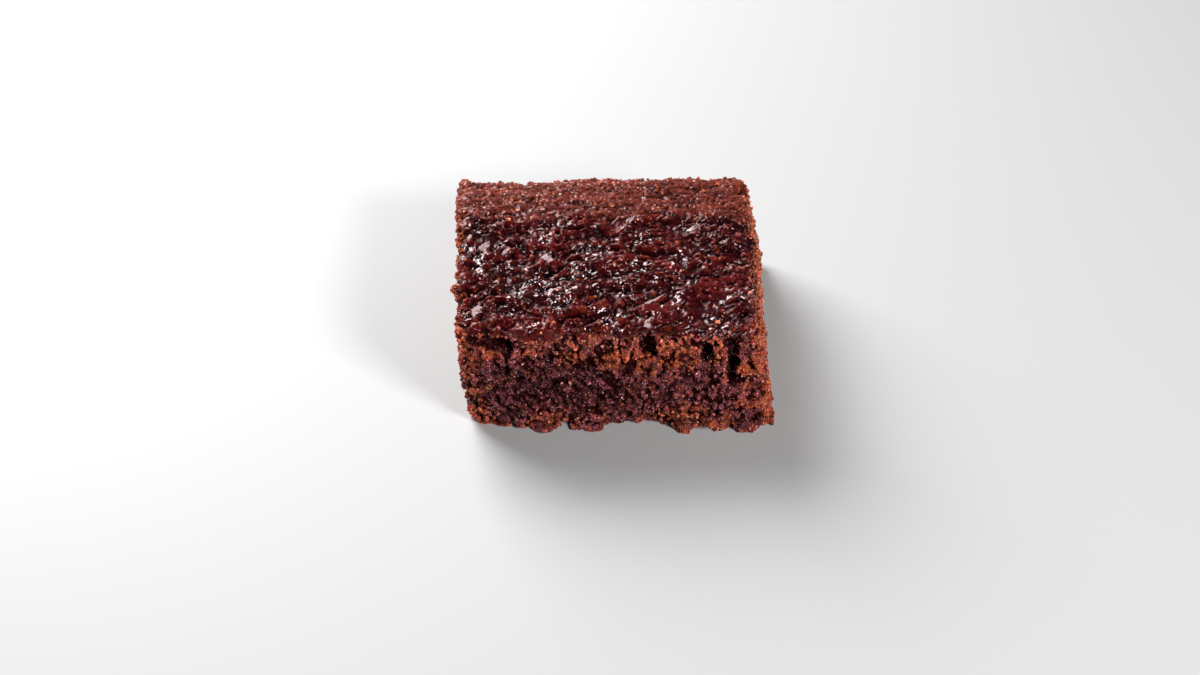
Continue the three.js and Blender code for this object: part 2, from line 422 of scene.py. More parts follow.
def pebbles(x, y, size, seed, reach, height):
    """Rounded lumps whose tops are cut off flat and tilted, in mm."""
    tallest = np.full(x.shape, -np.inf)
    for dx, dy, luck in nearby_cells(x, y, size, PEBBLE_JITTER, seed):
        along, across = turned(dx, dy, 0.25 + 0.9 * luck[0])
        radius = reach * (1 + 0.45 * luck[1])
        round_off = np.clip(1 - (along / (1.4 * radius)) ** 2 - (across / radius) ** 2, 0, 1)
        peak = height * (0.75 + 0.5 * luck[2])
        top = peak * 0.72 + (0.2 + 0.45 * luck[3]) * dx + 0.35 * luck[1] * dy
        lump = np.minimum(1.25 * peak * np.sqrt(round_off), np.maximum(top, 0))
        tallest = np.maximum(tallest, lump)
    return tallest


def broken_plates(x, y, size, slope, step, seed):
    """Flat plates with tilts and levels of their own, with a crease along each border, in mm."""
    nearest = np.full(x.shape, np.inf)
    second = np.full(x.shape, np.inf)
    height = np.zeros(x.shape)
    for dx, dy, luck in nearby_cells(x, y, size, PLATE_JITTER, seed):
        distance = np.hypot(dx / size[0], dy / size[1])
        closer = distance < nearest
        second = np.where(closer, nearest, np.minimum(second, distance))
        plane = slope * (luck[0] * dx + luck[1] * dy) + step * luck[2]
        height = np.where(closer, plane, height)
        nearest = np.minimum(nearest, distance)
    return height - step * smoothstep(0.3, 0.0, second - nearest)


# Plates of crust tilted to the light: middle, half length, half width and turn in degrees
BRIGHT_PLATES = (
    (-31.5, 0.5, 2.1, 1.5, 50),
    (-26.2, -0.6, 1.5, 1.1, 20),
    (-16.7, -2.5, 3.2, 1.2, -50),
    (-37.0, 11.0, 2.2, 1.1, 55),
    (-35.6, 5.0, 1.4, 0.9, 70),
    (-20.7, 8.0, 1.6, 1.0, -40),
    (-32.5, -22.0, 2.0, 1.4, 75),
    (9.2, -18.2, 4.0, 0.8, 18),
    (8.2, -25.1, 2.0, 1.2, 80),
    (-9.8, 0.8, 1.0, 0.7, 0),
    (27.5, 3.4, 1.2, 0.8, -20),
)
PLATE_RISE = 0.5


def mirror_slope(x, y):
    """Slopes of a spot of the crust that mirrors the key light to the camera."""
    spot = np.array((x, y, TOP_HEIGHT))
    to_light = np.array(KEY_PLACE_MM) - spot
    to_camera = np.array(CAMERA_PLACE_MM) - spot
    normal = to_light / np.linalg.norm(to_light) + to_camera / np.linalg.norm(to_camera)
    return -normal[0] / normal[2], -normal[1] / normal[2]


def bright_plates(x, y, crown):
    """Relief of the bright plates over a crown of the given heights, and 1 where they lie."""
    relief = np.zeros(x.shape)
    masks = np.zeros(x.shape)
    frayed = layered(x, y, PLATE_FRAYS)
    ripple = layered(x, y, PLATE_RIPPLES)
    for centre_x, centre_y, long, wide, turn_deg in BRIGHT_PLATES:
        dx = x - centre_x
        dy = y - centre_y
        along, across = turned(dx, dy, math.radians(turn_deg))
        mask = smoothstep(1.25, 0.9, (along / long) ** 2 + (across / wide) ** 2 + frayed)
        slope_x, slope_y = mirror_slope(centre_x, centre_y)
        crown_here = crown[np.unravel_index(np.argmin(np.hypot(dx, dy)), x.shape)]
        plane = PLATE_RISE + slope_x * dx + slope_y * dy + ripple + crown_here - crown
        relief = np.where(mask > masks, plane, relief)
        masks = np.maximum(masks, mask)
    return relief, masks


def wetness(x, y):
    """1 on the wet part of the crust, 0 on the dry band along the back edge."""
    edge = layered(x, y, DRY_EDGE_WANDER, DRY_BAND_START)
    return 1 - smoothstep(edge - DRY_BAND_FADE, edge, y)


def fold(u, v, size, seed):
    """0 in the creases and about 1 on the crests of folds of the given sizes."""
    return np.abs(flat_noise(u / size[0], v / size[1], seed))


def folds(x, y):
    """Broad, small and fine folds of the wet crust, drawn out from side to side."""
    u = layered(x, y, FOLD_DRIFT, x - FOLD_STRETCH * smoothstep(-4, 38, x))
    v = layered(x, y, FOLD_WANDER, y - FOLD_SLANT * x * smoothstep(12, -25, y))
    upright = fold(u, v, BROAD_FOLD, 14)
    broad = fold(u, v + BROAD_LEAN * upright, BROAD_FOLD, 14)
    small = fold(u, v + SMALL_LEAN * broad, SMALL_FOLD, 15)
    fine = fold(u, v, FINE_FOLD, 16)
    return broad, small, fine


def crinkled(x, y, broad):
    """1 where the crust is drawn into crinkles and lumps, 0 in the smooth pools between."""
    patches = layered(x, y, CRINKLED_PATCHES)
    leaning = 0.15 * smoothstep(5, -30, x)
    return smoothstep(-0.05, 0.4, broad + patches + leaning)


def wet_relief(x, y):
    """Relief of the wet crust in mm, where it is crinkled, and how high its folds stand."""
    broad, small, fine = folds(x, y)
    rough = crinkled(x, y, broad)
    shaken_x = layered(x, y, FLAKE_SHAKE_X, x)
    shaken_y = layered(x, y, FLAKE_SHAKE_Y, y)
    flakes = broken_plates(shaken_x, shaken_y, *FLAKES)
    chips = broken_plates(shaken_x, shaken_y, *CHIPS)
    torn = flakes + CHIP_SHARE * chips + pebbles(shaken_x, shaken_y, *LUMPS)
    fold_height = BROAD_HEIGHT * broad + SMALL_HEIGHT * small
    smoother = 1 - 0.15 * smoothstep(-2.0, 14.0, x) * smoothstep(12.0, 2.0, y)
    torn = (0.35 + 0.65 * rough) * smoother * torn
    return fold_height + FINE_HEIGHT * fine - WET_MEAN + torn, rough, fold_height


def dry_relief(x, y):
    """The matte band along the back edge, finely flaked and streaked from side to side."""
    shake = layered(x, y, DRY_SHAKE)
    flakes = broken_plates(x + shake, y + shake, *DRY_FLAKES)
    grains = pebbles(x, y, *DRY_GRAINS)
    along = layered(x, y, DRY_WANDER, x)
    streaks = 0.3 * fold(along, y, (5.0, 1.4), 22) + 0.5 * fold(along, y, (14.0, 4.0), 28)
    return layered(x, y, DRY_SWELLS, flakes + grains + streaks) - DRY_MEAN


def shine(x, y):
    """How freely the wet crust shines, 0 to 1: less towards the back and on the right."""
    right = smoothstep(6.0, 26.0, x) * smoothstep(-20.0, -8.0, y)
    return 1 - SHINE_LOST * np.maximum(smoothstep(3.0, 13.0, y), right)


def crust_maps(x, y, crown):
    """Maps of the crust: its relief over the crown in mm, and what its material reads."""
    wet = wetness(x, y)
    relief, rough, fold_height = wet_relief(x, y)
    relief = wet * relief + (1 - wet) * dry_relief(x, y)
    plate, mask = bright_plates(x, y, crown)
    return {
        "relief": relief * (1 - mask) + plate * mask,
        "crinkled": rough,
        "plate": mask,
        "fold": fold_height,
        "shine": shine(x, y),
    }


# Balls strewn near the surface of the solid, one to a cell of a jittered lattice

def ball_distance(field, points, size, radii, reach, share, seed):
    """Distance from each point to the nearest ball, in mm; a share of the cells holds a ball."""
    rng = np.random.default_rng(seed)
    low = np.floor(points.min(axis=0) / size).astype(int) - 1
    count = np.floor(points.max(axis=0) / size).astype(int) + 2 - low
    cells = np.stack(np.indices(count), axis=-1)
    centres = ((cells + low + rng.uniform(0.1, 0.9, cells.shape)) * size).astype(np.float32)
    radius = rng.uniform(*radii, count).astype(np.float32)
    depth = field.sample(field.distance, centres.reshape(-1, 3)).reshape(count)
    holds = (depth > reach[0]) & (depth < reach[1]) & (rng.uniform(0, 1, count) < share)
    radius = np.where(holds, radius, -BAND_MM).astype(np.float32)
    home = np.floor(points / size).astype(int) - low
    nearest = np.full(len(points), BAND_MM, np.float32)
    for shift in np.ndindex(3, 3, 3):
        cell = tuple((home + np.array(shift) - 1).T)
        gap = points - centres[cell]
        nearest = np.minimum(nearest, np.sqrt(np.einsum("ij,ij->i", gap, gap)) - radius[cell])
    return nearest


# Meshes out of points and faces

def mesh_object(name, points_mm, groups, smooth=True):
    """A mesh from points in mm and groups of faces with the same number of corners."""
    mesh = bpy.data.meshes.new(name)
    mesh.vertices.add(len(points_mm))
    mesh.vertices.foreach_set("co", (points_mm * MM).astype(np.float32).ravel())
    sizes = np.concatenate([np.full(len(faces), faces.shape[1]) for faces in groups])
    mesh.loops.add(int(sizes.sum()))
    corners = np.concatenate([faces.ravel() for faces in groups])
    mesh.loops.foreach_set("vertex_index", corners.astype(np.int32))
    mesh.polygons.add(len(sizes))
    mesh.polygons.foreach_set("loop_start", (np.cumsum(sizes) - sizes).astype(np.int32))
    mesh.update(calc_edges=True)
    if smooth:
        mesh.shade_smooth()
    else:
        mesh.shade_flat()
    obj = bpy.data.objects.new(name, mesh)
    bpy.context.scene.collection.objects.link(obj)
    return obj


def add_attribute(obj, name, values):
    attribute = obj.data.attributes.new(name, "FLOAT", "POINT")
    attribute.data.foreach_set("value", values.astype(np.float32))


def triangles_of(groups):
    quads, triangles = groups
    return np.concatenate([quads[:, [0, 1, 2]], quads[:, [0, 2, 3]], triangles])


# Crumb

# Hollows torn into the crumb, open at the front: middle and half sizes across, in depth and up
HOLLOWS = (
    ((-31.4, -29.6, 28.5), (3.6, 3.4, 1.9)),
    ((-27.4, -30.0, 27.8), (3.8, 4.4, 2.4)),
    ((-25.2, -30.2, 26.8), (2.0, 3.6, 1.8)),
    ((8.0, -29.4, 27.8), (1.9, 3.2, 3.4)),
    ((19.9, -29.2, 28.2), (1.6, 2.8, 2.2)),
    ((21.9, -29.8, 25.0), (1.9, 3.4, 3.3)),
    ((25.4, -28.6, 30.2), (1.6, 2.2, 1.4)),
    ((27.4, -29.4, 28.0), (1.9, 3.0, 2.6)),
    ((28.3, -29.8, 24.4), (1.5, 2.8, 2.6)),
    ((28.5, -30.2, 20.8), (1.8, 3.0, 2.5)),
    ((29.5, -30.6, 16.8), (2.2, 3.2, 2.0)),
    ((31.5, 21.6, 30.0), (1.1, 1.3, 2.2)),
)

# A clump that sticks out of the left rim: middle and half sizes
RIM_CLUMP = ((-37.8, -11.5, 28.6), (1.6, 1.8, 1.7))

# Warmer and cooler patches of the front face: place across, height, reach across, reach up, strength
WARM_SPOTS = (
    (15.5, 24.5, 7.0, 4.5, 1.3),
    (25.5, 26.0, 2.5, 4.0, 0.9),
    (1.0, 23.5, 4.5, 3.5, 1.2),
    (-27.0, 24.0, 7.0, 2.2, 0.6),
    (-9.5, 23.5, 4.0, 4.0, 1.0),
    (-15.6, 5.6, 3.2, 3.0, 1.2),
    (16.0, 6.5, 5.0, 3.5, 0.6),
    (31.0, 8.0, 3.0, 6.0, 0.5),
    (-14.0, 14.0, 17.0, 7.5, -0.6),
    (20.0, 14.5, 7.0, 3.5, -0.4),
    (-3.5, 26.5, 3.0, 3.0, -0.4),
)
WARM_BROAD = 0.22
WARM_SMALL = 0.34
WARM_MOST = 0.9
FOOT_WARMTH = 0.2
UPPER_WARMTH = 0.25
SIDE_WARMTH = 0.35
RIGHT_WARMTH = 0.4
CORNER_WARMTH = 0.45
SIDE_FLARE = 0.11

# Where the crumb counts as its front face: y where that starts, and where it is full
FRONT_ZONE = (-24.0, -27.5)

# Painted shade: how much it darkens parts of the crumb, 0 to 1, and how much the right face is evened
# out
GROOVE_DARK = 0.85
HOLLOW_DARK = 0.9
RIM_DARK = 0.36
RIM_DARKER_RIGHT = 0.48
FOOT_DARK = 0.12
FOOT_DARKER_RIGHT = 0.1
LIP_SHADOW_DARK = 0.35
MIDDLE_DARK = 0.33
RIGHT_DARK = 0.3
RIGHT_EVENED = 0.5


def warm_grid(field):
    """How orange-brown the crumb is, 0 to 1: in patches, and most along rims, foot and upper front."""
    x, y, z = field.spread()
    broad = solid_noise(field.axes, 4.5, SEED + 10)
    small = solid_noise(field.axes, 1.2, SEED + 11)
    patches = WARM_BROAD * broad + WARM_SMALL * small
    front = smoothstep(*FRONT_ZONE, y)
    bias = FOOT_WARMTH * smoothstep(5.5, 1.5, z) + UPPER_WARMTH * smoothstep(16.0, 28.0, z)
    for centre, height, across, up, strength in WARM_SPOTS:
        bias = bias + front * strength * bell(x - centre, across) * bell(z - height, up)
    sides = smoothstep(33.0, 35.4, np.abs(x + SIDE_FLARE * (z - TOP_HEIGHT)))
    corners = np.maximum(smoothstep(-25.0, -28.5, y), smoothstep(27.0, 29.5, z))
    rims = sides * (SIDE_WARMTH + RIGHT_WARMTH * smoothstep(0.0, 10.0, x) + CORNER_WARMTH * corners)
    return (WARM_MOST * smoothstep(-0.2, 1.3, 0.2 + patches + bias + rims)).astype(np.float32)


def hollow_depth(points):
    """How deep points lie in the hollows: 0 on the wall of the nearest hollow, 1 at its middle."""
    deepest = np.full(len(points), -np.inf)
    for middle, reach in HOLLOWS:
        gap = (points - np.array(middle)) / np.array(reach)
        deepest = np.maximum(deepest, 1 - np.linalg.norm(gap, axis=1))
    return deepest


def hollow_dark(points):
    """1 well inside the hollows of the front face, where the crumb is painted dark as shade, 0 on the
    face and away from them.
    """
    face = FRONT_TOP_Y - FRONT_LEAN * (TOP_HEIGHT - points[:, 2])
    inward = smoothstep(0.2, 1.2, points[:, 1] - face)
    return inward * smoothstep(-0.35, -0.05, hollow_depth(points))


def grained(field, values):
    """Adds the crumb's grains to values near the surface, and takes out its pores."""
    near = np.abs(field.distance) < GRAINED_BAND
    points = field.points(near)
    wobble = 0.25 * solid_noise(field.axes, 1.0, SEED + 2)[near]
    coarse = ball_distance(field, points, *COARSE_BALLS, SEED + 3)
    fine = ball_distance(field, points, *FINE_BALLS, SEED + 4)
    pores = ball_distance(field, points, *PORES, SEED + 5)
    pinholes = ball_distance(field, points, *PINHOLES, SEED + 6)
    off_base = smoothstep(0.2, 1.2, points[:, 2])
    dragged = drag_streaks(*points.T)[1]
    rough = np.minimum(values[near], np.minimum(coarse, fine) - 0.5 * wobble + 1.0 - off_base)
    values[near] = np.maximum(rough, -np.minimum(pores + wobble, pinholes) - dragged)
    return values


def hollowed(field, values):
    """Takes the torn hollows out of the crumb."""
    ragged = 0.4 * solid_noise(field.axes, 1.7, SEED + 9) + 0.2 * solid_noise(field.axes, 0.8, SEED + 12)
    for middle, reach in HOLLOWS:
        spans = []
        gaps = []
        for axis, centre, half in zip(field.axes, middle, reach):
            first, last = np.searchsorted(axis, (centre - 1.5 * half, centre + 1.5 * half))
            spans.append(slice(first, last))
            gaps.append((axis[first:last] - centre) / half)
        window = tuple(spans)
        across, deep, up = np.ix_(*gaps)
        far = np.sqrt(across ** 2 + deep ** 2 + up ** 2)
        inside = min(reach) * (1 - far) + ragged[window] * smoothstep(1.45, 1.0, far)
        values[window] = np.maximum(values[window], inside)
    return values


def drag_streaks(x, y, z):
    """The knife's streaks across the front: 0 in grooves, 1 on crests, and where they are."""
    along, across = turned(x, z, math.radians(DRAG_TURN_DEG))
    streaks = smoothstep(0.0, 0.45, np.abs(flat_noise(along / 6.0, across / 1.2, 61)))
    where = smoothstep(-22.0, -27.0, y) * smoothstep(12.0, 0.0, x)
    return streaks, where * smoothstep(4.0, 8.0, z) * smoothstep(25.0, 21.0, z)


def foot_clumps(field, y, z):
    """Clumps that stand out along the front foot and nicks between them, in mm."""
    where = smoothstep(-24.0, -28.0, y) * smoothstep(5.5, 2.5, z)
    noise = solid_noise(field.axes, 2.1, SEED + 13).astype(float)
    clumps = FOOT_CLUMP_HEIGHT * smoothstep(0.1, 1.1, noise)
    return (clumps - FOOT_NICK_DEPTH * smoothstep(-0.2, -1.0, noise)) * where


def ball_field(field, middle, reach):
    """Distance to an ellipsoid over the whole grid, about right near its surface, in mm."""
    x, y, z = ((axis - centre) / half for axis, centre, half in zip(field.spread(), middle, reach))
    return min(reach) * (np.sqrt(x * x + y * y + z * z) - 1)


def crumb_shape(field, plan):
    """Values whose zero surface is the crumb: torn, grained, hollowed and cut off under the crust."""
    x, y, z = field.spread()
    clumps = np.abs(solid_noise(field.axes, 2.6, SEED + 7)) - 0.8
    gritty = solid_noise(field.axes, 0.8, SEED + 8)
    off_base = smoothstep(0.0, 1.2, z)
    streaks, where = drag_streaks(x, y, z)
    torn = CLUMP_HEIGHT * clumps * (1 - 0.5 * where) + GRIT_HEIGHT * gritty
    torn = torn + STREAK_HEIGHT * (streaks - 0.6) * where
    values = field.distance + (CRUMB_INSET - torn) * off_base - foot_clumps(field, y, z)
    values = np.minimum(values, ball_field(field, *RIM_CLUMP) - 0.4 * torn)
    values = hollowed(field, grained(field, values))
    cut = z - (plan.skin_floor + SKIN_OVERLAP)[:, :, None]
    bare = smoothstep(0.5, -0.3, plan.covered)[:, :, None]
    values = np.maximum(values, cut - 4.0 * bare)
    return np.maximum(values, -z)


def under_crust(points):
    """1 in the moist crumb just under the front edge of the crust, 0 elsewhere."""
    return smoothstep(23.0, 28.5, points[:, 2]) * smoothstep(*FRONT_ZONE, points[:, 1])


def front_middle_dim(points):
    """1 in the middle of the left half of the front face, where the crumb is made darker, 0 elsewhere.
    """
    front = smoothstep(*FRONT_ZONE, points[:, 1])
    return front * bell(points[:, 0] + 15.0, 15.0) * bell(points[:, 2] - 14.0, 7.5)


def crumb_shade(crumb, points):
    """Painted shade of the crumb: 1 on what stands out, down to 0 in pores and hollows."""
    x, y, z = points.T
    crest = crumb["field"].sample(crumb["soft"], points)
    streaks, where = drag_streaks(x, y, z)
    # Painted shade in pores, dents and the knife's grooves
    shade = smoothstep(-0.35, 0.2, crest) * (1 - GROOVE_DARK * (1 - streaks) * where)
    # The right face gets its painted shade evened out, and is dimmed as painted shade
    right = smoothstep(-2.1, -0.8, x - (RIGHT_TOP_X + RIGHT_LEAN * (TOP_HEIGHT - z)))
    shade = (shade + right * RIGHT_EVENED * (1 - shade)) * (1 - RIGHT_DARK * right)
    # Painted shade inside the hollows, on the top rim, along the foot and under the crust's lip; the
    # middle of the front face is made darker too
    hollow = HOLLOW_DARK * hollow_dark(points)
    rim = smoothstep(29.0, 30.5, z) * (RIM_DARK + RIM_DARKER_RIGHT * smoothstep(25.0, 34.0, x))
    foot = smoothstep(6.0, 3.0, z) * (FOOT_DARK + FOOT_DARKER_RIGHT * smoothstep(-5.0, 10.0, x))
    below = crumb["plan"].at(crumb["plan"].skin_floor, points) - z
    lip_shadow = LIP_SHADOW_DARK * smoothstep(1.2, 0.3, below) * under_crust(points)
    for dark in (hollow, rim, foot, lip_shadow, MIDDLE_DARK * front_middle_dim(points)):
        shade = shade * (1 - dark)
    return shade


def crumb_piece():
    """Sides, rims, foot and base of the piece. Gives the object and what the grains need."""
    field = Field(CRUMB_STEP)
    plan = Plan(field)
    values = crumb_shape(field, plan)
    points, groups = field.surface(values)
    obj = mesh_object("brownie_crumb", points, groups)
    soft = blurred(np.clip(values, -BAND_MM, BAND_MM), CRUMB_CREST_BLUR, field.step)
    warm = warm_grid(field)
    crumb = {"field": field, "plan": plan, "warm": warm, "soft": soft}
    # The crumb's painted shade, kept as the attribute shade
    add_attribute(obj, "shade", crumb_shade(crumb, points))
    add_attribute(obj, "warm", field.sample(warm, points))
    crumb.update(points=points, corners=triangles_of(groups))
    return obj, crumb


# Crust

def crust_piece():
    """The top skin: wet and wrinkled in front, dry along the back edge."""
    field = Field(CRUST_STEP, CRUST_GRID_BOTTOM)
    plan = Plan(field)
    z = field.spread()[2]
    maps = crust_maps(plan.x, plan.y, plan.crown)
    relief = blurred(maps.pop("relief"), RELIEF_BLUR, field.step)
    below_crown = plan.level_crown[:, :, None] - z
    near_top = smoothstep(2.6, 0.8, below_crown)
    crumbly = np.abs(solid_noise(field.axes, 0.9, SEED + 20)) - 0.8
    ragged = solid_noise(field.axes, 2.4, SEED + 21)
    lip = (LIP_RAGS * ragged + LIP_CRUMBS * crumbly) * (1 - 0.85 * near_top)
    skin = field.distance - relief[:, :, None] * near_top - SKIN_LIFT - lip
    values = np.maximum(skin, plan.skin_floor[:, :, None] + EDGE_CRUMBS * crumbly - z)
    values = np.maximum(values, -plan.covered[:, :, None] + EDGE_CRUMBS * crumbly)
    values = np.maximum(values, z - HIGHEST)
    points, groups = field.surface(values)
    obj = mesh_object("brownie_crust", points, groups)
    soft = blurred(np.clip(values, -BAND_MM, BAND_MM), CRUST_CREST_BLUR, field.step)
    add_attribute(obj, "crest", field.sample(soft, points))
    add_attribute(obj, "wet", wetness(points[:, 0], points[:, 1]))
    for name, levels in maps.items():
        add_attribute(obj, name, plan.at(levels, points))
    add_attribute(obj, "down", plan.at(plan.level_crown, points) - points[:, 2])
    add_attribute(obj, "edge", plan.at(plan.covered, points))
    return obj, {"plan": plan, "points": points, "corners": triangles_of(groups)}


# Loose grains

def twenty_sided():
    shape = bmesh.new()
    bmesh.ops.create_icosphere(shape, subdivisions=1, radius=1.0)
    shape.verts.index_update()
    corners = np.array([vertex.co[:] for vertex in shape.verts])
    faces = np.array([[vertex.index for vertex in face.verts] for face in shape.faces])
    shape.free()
    return corners, faces


def eight_sided():
    corners = np.concatenate([np.eye(3), -np.eye(3)])
    upper = [(0, 1, 2), (1, 3, 2), (3, 4, 2), (4, 0, 2)]
    lower = [(1, 0, 5), (3, 1, 5), (4, 3, 5), (0, 4, 5)]
    return corners, np.array(upper + lower)


def four_sided():
    corners = np.array([(1, 1, 1), (1, -1, -1), (-1, 1, -1), (-1, -1, 1)]) / math.sqrt(3)
    return corners, np.array([(0, 1, 2), (0, 3, 1), (0, 2, 3), (1, 3, 2)])


def random_turns(rng, count):
    """Rotation matrices spread evenly over all turns."""
    q = rng.standard_normal((count, 4))
    w, x, y, z = (q / np.linalg.norm(q, axis=1, keepdims=True)).T
    rows = [
        1 - 2 * (y * y + z * z), 2 * (x * y - z * w), 2 * (x * z + y * w),
        2 * (x * y + z * w), 1 - 2 * (x * x + z * z), 2 * (y * z - x * w),
        2 * (x * z - y * w), 2 * (y * z + x * w), 1 - 2 * (x * x + y * y),
    ]
    return np.stack(rows, axis=1).reshape(count, 3, 3)


def places_on(rng, skin, count, weight):
    """Random places on a surface, thinned out by weight, and the outward directions there."""
    a, b, c = (skin["points"][skin["corners"][:, k]] for k in range(3))
    cross = np.cross(b - a, c - a)
    area = np.linalg.norm(cross, axis=1)
    middle = (a + b + c) / 3
    normal = cross / np.maximum(area, 1e-9)[:, None]
    chance = area * weight(middle, normal)
    pick = rng.choice(len(area), count, p=chance / chance.sum())
    r1 = np.sqrt(rng.uniform(0, 1, (count, 1)))
    r2 = rng.uniform(0, 1, (count, 1))
    place = a[pick] * (1 - r1) + b[pick] * r1 * (1 - r2) + c[pick] * r1 * r2
    return place, normal[pick]


def add_grain_attributes(obj, form, **values):
    """Gives every corner of a grain the grain's own values."""
    for name, levels in values.items():
        add_attribute(obj, name, np.repeat(levels, len(form[0])))


def grain_piece(name, rng, form, places, radii):
    """Many small angular grains joined into one mesh."""
    corners, faces = form
    count = len(places)
    stretch = rng.uniform(*GRAIN_STRETCH, (count, 1, 3))
    dents = rng.uniform(*GRAIN_DENTS, (count, len(corners), 1))
    local = corners[None] * stretch * dents * radii[:, None, None]
    points = np.einsum("nij,nkj->nki", random_turns(rng, count), local) + places[:, None]
    indices = faces[None] + len(corners) * np.arange(count)[:, None, None]
    obj = mesh_object(name, points.reshape(-1, 3), [indices.reshape(-1, 3)], smooth=False)
    # Grains in the moist band under the crust's front edge get a lighter tone, partly moist crumb and
    # partly painted light on the upper front; grains off the front face get a darker tone as painted
    # shade, and a more amber hue
    moist_and_lit = under_crust(places)
    off_front = smoothstep(-26.0, -22.0, places[:, 1])
    tone = rng.uniform(0, 1, count) ** (2.0 - 1.5 * moist_and_lit + 0.6 * off_front)
    hue = rng.uniform(0, 1, count) ** (1.6 - 0.5 * moist_and_lit - 0.7 * off_front)
    add_grain_attributes(obj, form, tone=tone, hue=hue)
    return obj


def crumb_grains(name, crumb, form, count, radii, seed):
    """Loose grains that cling to the cut faces, the rims and the foot."""
    rng = np.random.default_rng(seed)
    plan = crumb["plan"]

    def weight(middle, normal):
        under_skin = plan.at(plan.covered, middle) > 0
        under_skin &= middle[:, 2] > plan.at(plan.skin_floor, middle) - 0.1
        on_rim = smoothstep(29.0, 30.0, middle[:, 2])
        crest = crumb["field"].sample(crumb["soft"], middle)
        share = (0.2 + 0.8 * smoothstep(-0.3, 0.1, crest)) * (1.0 - 0.4 * on_rim)
        return np.where(under_skin | (middle[:, 2] < 0.3), 0.0, share)

    places, normals = places_on(rng, crumb, count, weight)
    radius = radii[0] + (radii[1] - radii[0]) * rng.uniform(0, 1, count) ** 1.6
    places = places + normals * (rng.uniform(-0.4, 0.3, count) * radius)[:, None]
    places[:, 2] = np.maximum(places[:, 2], radius)
    obj = grain_piece(name, rng, form, places, radius)
    warm = crumb["field"].sample(crumb["warm"], places)
    orange = smoothstep(-0.25, 0.25, warm - rng.uniform(0, 1, count))
    orange = np.maximum(orange, ORANGE_UNDER_CRUST * under_crust(places))
    # No orange well inside the hollows, which are painted dark as shade
    orange = orange * (1 - hollow_dark(places))
    # Painted shade of the crumb just under each grain
    shade = crumb_shade(crumb, places - normals * radius[:, None])
    add_grain_attributes(obj, form, orange=orange, shade=shade)
    return obj


def crust_grains(name, crust, count, seed):
    """Crumbs stuck to the crust: few on the wet part, more on the dry band, rims and front lip."""
    rng = np.random.default_rng(seed)
    plan = crust["plan"]

    def weight(middle, normal):
        down = plan.at(plan.level_crown, middle) - middle[:, 2]
        dry = 1 - wetness(middle[:, 0], middle[:, 1])
        rim = smoothstep(2.2, 0.2, plan.at(plan.covered, middle))
        on_top = (down < 1.0) * (normal[:, 2] > 0.2) * (0.02 + 0.08 * dry + 0.4 * rim)
        return on_top + 0.8 * (down > 0.9) * (middle[:, 1] < FRONT_TOP_Y + 2.0)

    places, normals = places_on(rng, crust, count, weight)
    radius = 0.18 + 0.4 * rng.uniform(0, 1, count) ** 3
    places = places + normals * (0.15 * radius)[:, None]
    places[:, 2] = np.minimum(places[:, 2], HIGHEST - radius)
    form = twenty_sided()
    obj = grain_piece(name, rng, form, places, radius)
    orange = rng.uniform(0.4, 1, count)
    # Every crumb stuck to the crust gets the same painted shade
    add_grain_attributes(obj, form, orange=orange, shade=np.full(count, CRUST_CRUMB_SHADE))
    return obj


# Kinds of loose grains on the crumb: name, form, count, least and greatest radius in mm, seed
GRAIN_KINDS = (
    ("coarse_crumbs", twenty_sided, 6500, (0.22, 0.46), 30),
    ("medium_crumbs", eight_sided, 23000, (0.18, 0.36), 31),
    ("fine_crumbs", eight_sided, 23000, (0.14, 0.25), 33),
    ("grit", four_sided, 49000, (0.14, 0.3), 34),
)
CRUST_CRUMBS = 900
# Painted shade of the crumbs stuck to the crust
CRUST_CRUMB_SHADE = 0.6
ORANGE_UNDER_CRUST = 0.42

# Least and most stretch of a grain along its axes, and of its corners in and out
GRAIN_STRETCH = (0.55, 1.35)
GRAIN_DENTS = (0.5, 1.3)


# Materials

